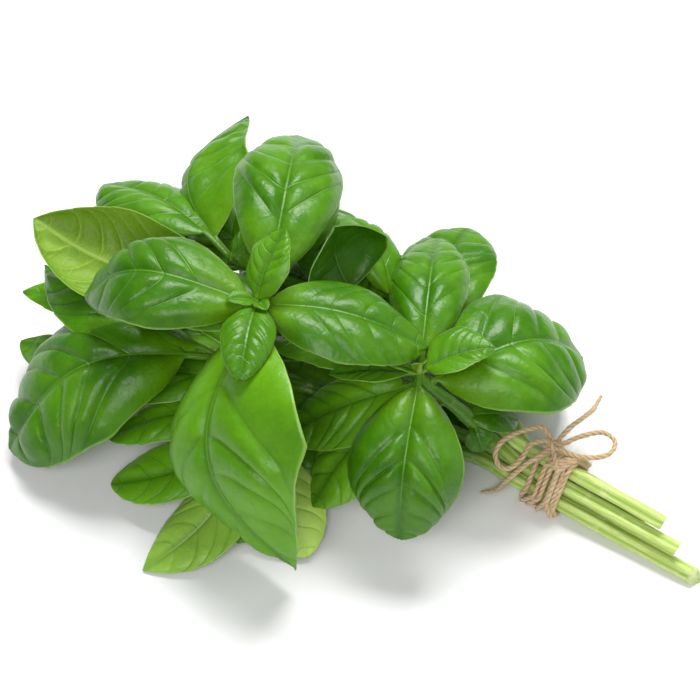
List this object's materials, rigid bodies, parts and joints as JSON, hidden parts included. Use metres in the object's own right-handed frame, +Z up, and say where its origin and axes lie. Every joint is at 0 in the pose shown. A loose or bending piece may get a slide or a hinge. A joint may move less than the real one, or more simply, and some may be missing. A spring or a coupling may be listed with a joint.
{
  "type": "bunch of fresh basil",
  "caption": "Bunch of fresh basil lying on its side: leafy stems bound near their cut ends with a jute twine bow.",
  "frame": {"origin": "middle of the footprint on the surface that the bunch lies on", "axes": "+X along the stems toward their cut ends, +Z up, the bow on the upper side"},
  "size_m": [0.2268, 0.1466, 0.0844],
  "materials": {
    "basil": "fresh green leaf, satin, with paler stems",
    "jute": "natural jute twine, matt and fibrous"
  },
  "bodies": {
    "root": {"sprig_top": "basil", "sprig_right": "basil", "sprig_back": "basil", "sprig_rear": "basil", "sprig_left": "basil", "sprig_low": "basil", "twine_binding": "jute", "bow_loop_left": "jute", "bow_loop_right": "jute", "twine_end_low": "jute", "twine_end_high": "jute"}
  },
  "joints": []
}
